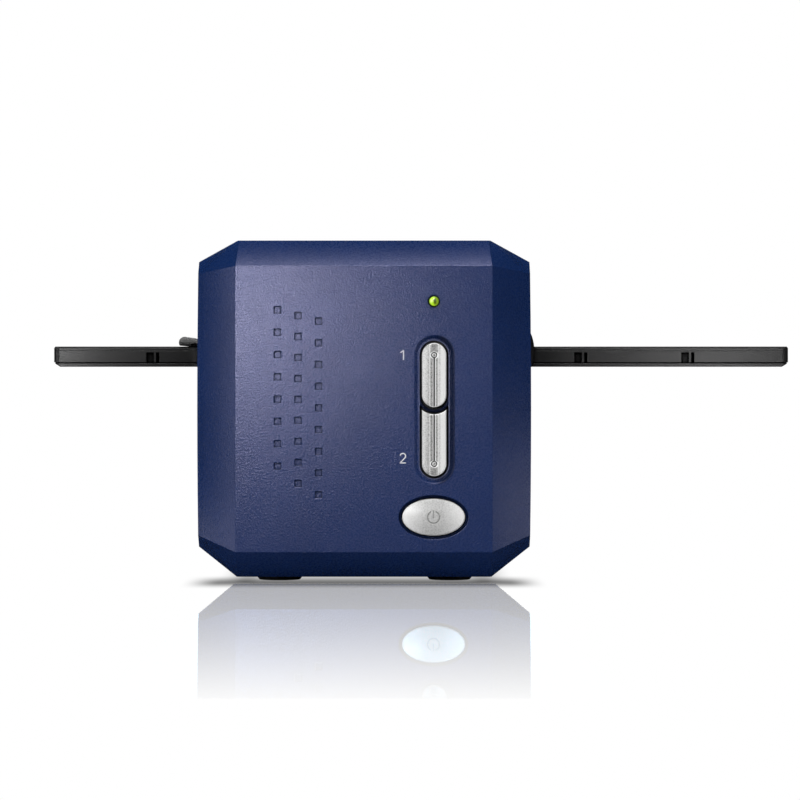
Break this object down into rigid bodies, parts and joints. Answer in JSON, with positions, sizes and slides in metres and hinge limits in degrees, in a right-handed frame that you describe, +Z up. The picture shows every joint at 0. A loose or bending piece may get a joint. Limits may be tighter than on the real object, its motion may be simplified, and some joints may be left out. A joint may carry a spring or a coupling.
{
  "type": "film negative scanner",
  "caption": "Desktop scanner for film strips: bevelled deep-blue housing, silver front buttons, dust flaps, and a black strip holder lying crosswise through side slots.",
  "frame": {"origin": "under the middle of the whole outline of scanner and inserted strip holder, level with the undersides of the rubber feet; the housing's own middle is 20 mm to the left of it", "axes": "+Z up, +Y from the front face to the back along the housing's length, +X to the right as seen from the front, along the film path"},
  "size_m": [0.261, 0.2738, 0.119],
  "materials": {
    "housing_blue": "fine spark-eroded satin moulding, deep blue",
    "foot_rubber": "matt black rubber",
    "steel": "plain turned and drawn steel",
    "bezel_black": "satin black moulding",
    "button_silver": "silver lacquer, fine brushed sheen",
    "light_green": "clear yellow-green light pipe",
    "lamp_white": "opal and white parts of the lamp",
    "board_green": "solder-masked circuit board",
    "frame_grey": "glass-filled dark grey moulding",
    "inner_black": "matt black, keeps stray light down",
    "bronze": "sintered bronze",
    "mirror": "front-surface mirror",
    "lens_glass": "coated lens glass",
    "socket_metal": "tinned sheet steel",
    "holder_black": "satin charcoal-black moulding"
  },
  "bodies": {
    "scanner": {"front_panel": "housing_blue", "rear_panel": "housing_blue", "upper_housing": "housing_blue", "lower_housing": "housing_blue", "rubber_feet": "foot_rubber", "housing_screws": "steel", "entry_bezel": "bezel_black", "exit_bezel": "bezel_black", "entry_flap_pin": "steel", "exit_flap_pin": "steel", "button_carrier": "bezel_black", "button_board": "board_green", "tact_switches": "bezel_black", "button_board_screws": "steel", "light_pipe": "light_green", "power_light": "lamp_white", "chassis": "frame_grey", "chassis_screws": "steel", "film_gate": "inner_black", "film_gate_screws": "steel", "click_spring": "steel", "lamp_housing": "inner_black", "lamp_reflector": "lamp_white", "lamp_tube": "lamp_white", "lamp_end_caps": "frame_grey", "lamp_diffuser": "lamp_white", "guide_rod": "steel", "stepper_motor": "socket_metal", "motor_screws": "steel", "main_board": "board_green", "main_board_screws": "steel", "usb_socket": "socket_metal", "power_inlet": "inner_black", "lamp_inverter": "board_green", "home_sensor": "inner_black"},
    "strip_holder": {"film_holder_base": "holder_black", "film_holder_lid": "holder_black", "film_holder_hinge_pins": "steel"},
    "upper_button": {"scan_button_upper": "button_silver", "upper_switch_plunger": "bezel_black"},
    "lower_button": {"scan_button_lower": "button_silver", "lower_switch_plunger": "bezel_black"},
    "power_key": {"power_button": "button_silver", "power_switch_plunger": "bezel_black"},
    "entry_door": {"entry_flap": "bezel_black"},
    "exit_door": {"exit_flap": "bezel_black"},
    "scan_unit": {"scan_carriage": "frame_grey", "carriage_cover": "inner_black", "carriage_bushes": "bronze", "fold_mirror": "mirror", "lens_barrel": "frame_grey", "lens_glass": "lens_glass", "lens_clamp": "steel", "sensor_board": "board_green", "sensor_chip": "inner_black", "drive_nut": "lamp_white"},
    "drive_screw": {"lead_screw": "steel"}
  },
  "joints": [
    {"name": "holder_slide", "type": "slide", "parent": "scanner", "child": "strip_holder", "axis": [1, 0, 0], "range_m": [-0.114, 0.176], "deforming": ["click_spring"]},
    {"name": "upper_button_press", "type": "slide", "parent": "scanner", "child": "upper_button", "axis": [0, 1, 0], "range_m": [0, 0.0009], "stiffness_N_per_m": 1200, "springref_m": -0.0006},
    {"name": "lower_button_press", "type": "slide", "parent": "scanner", "child": "lower_button", "axis": [0, 1, 0], "range_m": [0, 0.0009], "stiffness_N_per_m": 1200, "springref_m": -0.0006},
    {"name": "power_button_press", "type": "slide", "parent": "scanner", "child": "power_key", "axis": [0, 1, 0], "range_m": [0, 0.0009], "stiffness_N_per_m": 1200, "springref_m": -0.0006},
    {"name": "entry_flap_hinge", "type": "hinge", "parent": "scanner", "child": "entry_door", "pos_m": [0.03725, -0.06863, 0.08409], "axis": [0, 1, 0], "range_deg": [0, 15]},
    {"name": "exit_flap_hinge", "type": "hinge", "parent": "scanner", "child": "exit_door", "pos_m": [-0.07725, -0.06863, 0.08409], "axis": [0, 1, 0], "range_deg": [0, 22]},
    {"name": "carriage_slide", "type": "slide", "parent": "scanner", "child": "scan_unit", "axis": [0, 1, 0], "range_m": [0, 0.028]},
    {"name": "lead_screw_spin", "type": "hinge", "parent": "scanner", "child": "drive_screw", "pos_m": [-0.039, 0.00287, 0.022], "axis": [0, 1, 0], "range_deg": [0, 5100]}
  ],
  "couplings": [
    {"joint": "lead_screw_spin", "follows": "carriage_slide", "rad_per_m": 3141.6}
  ]
}
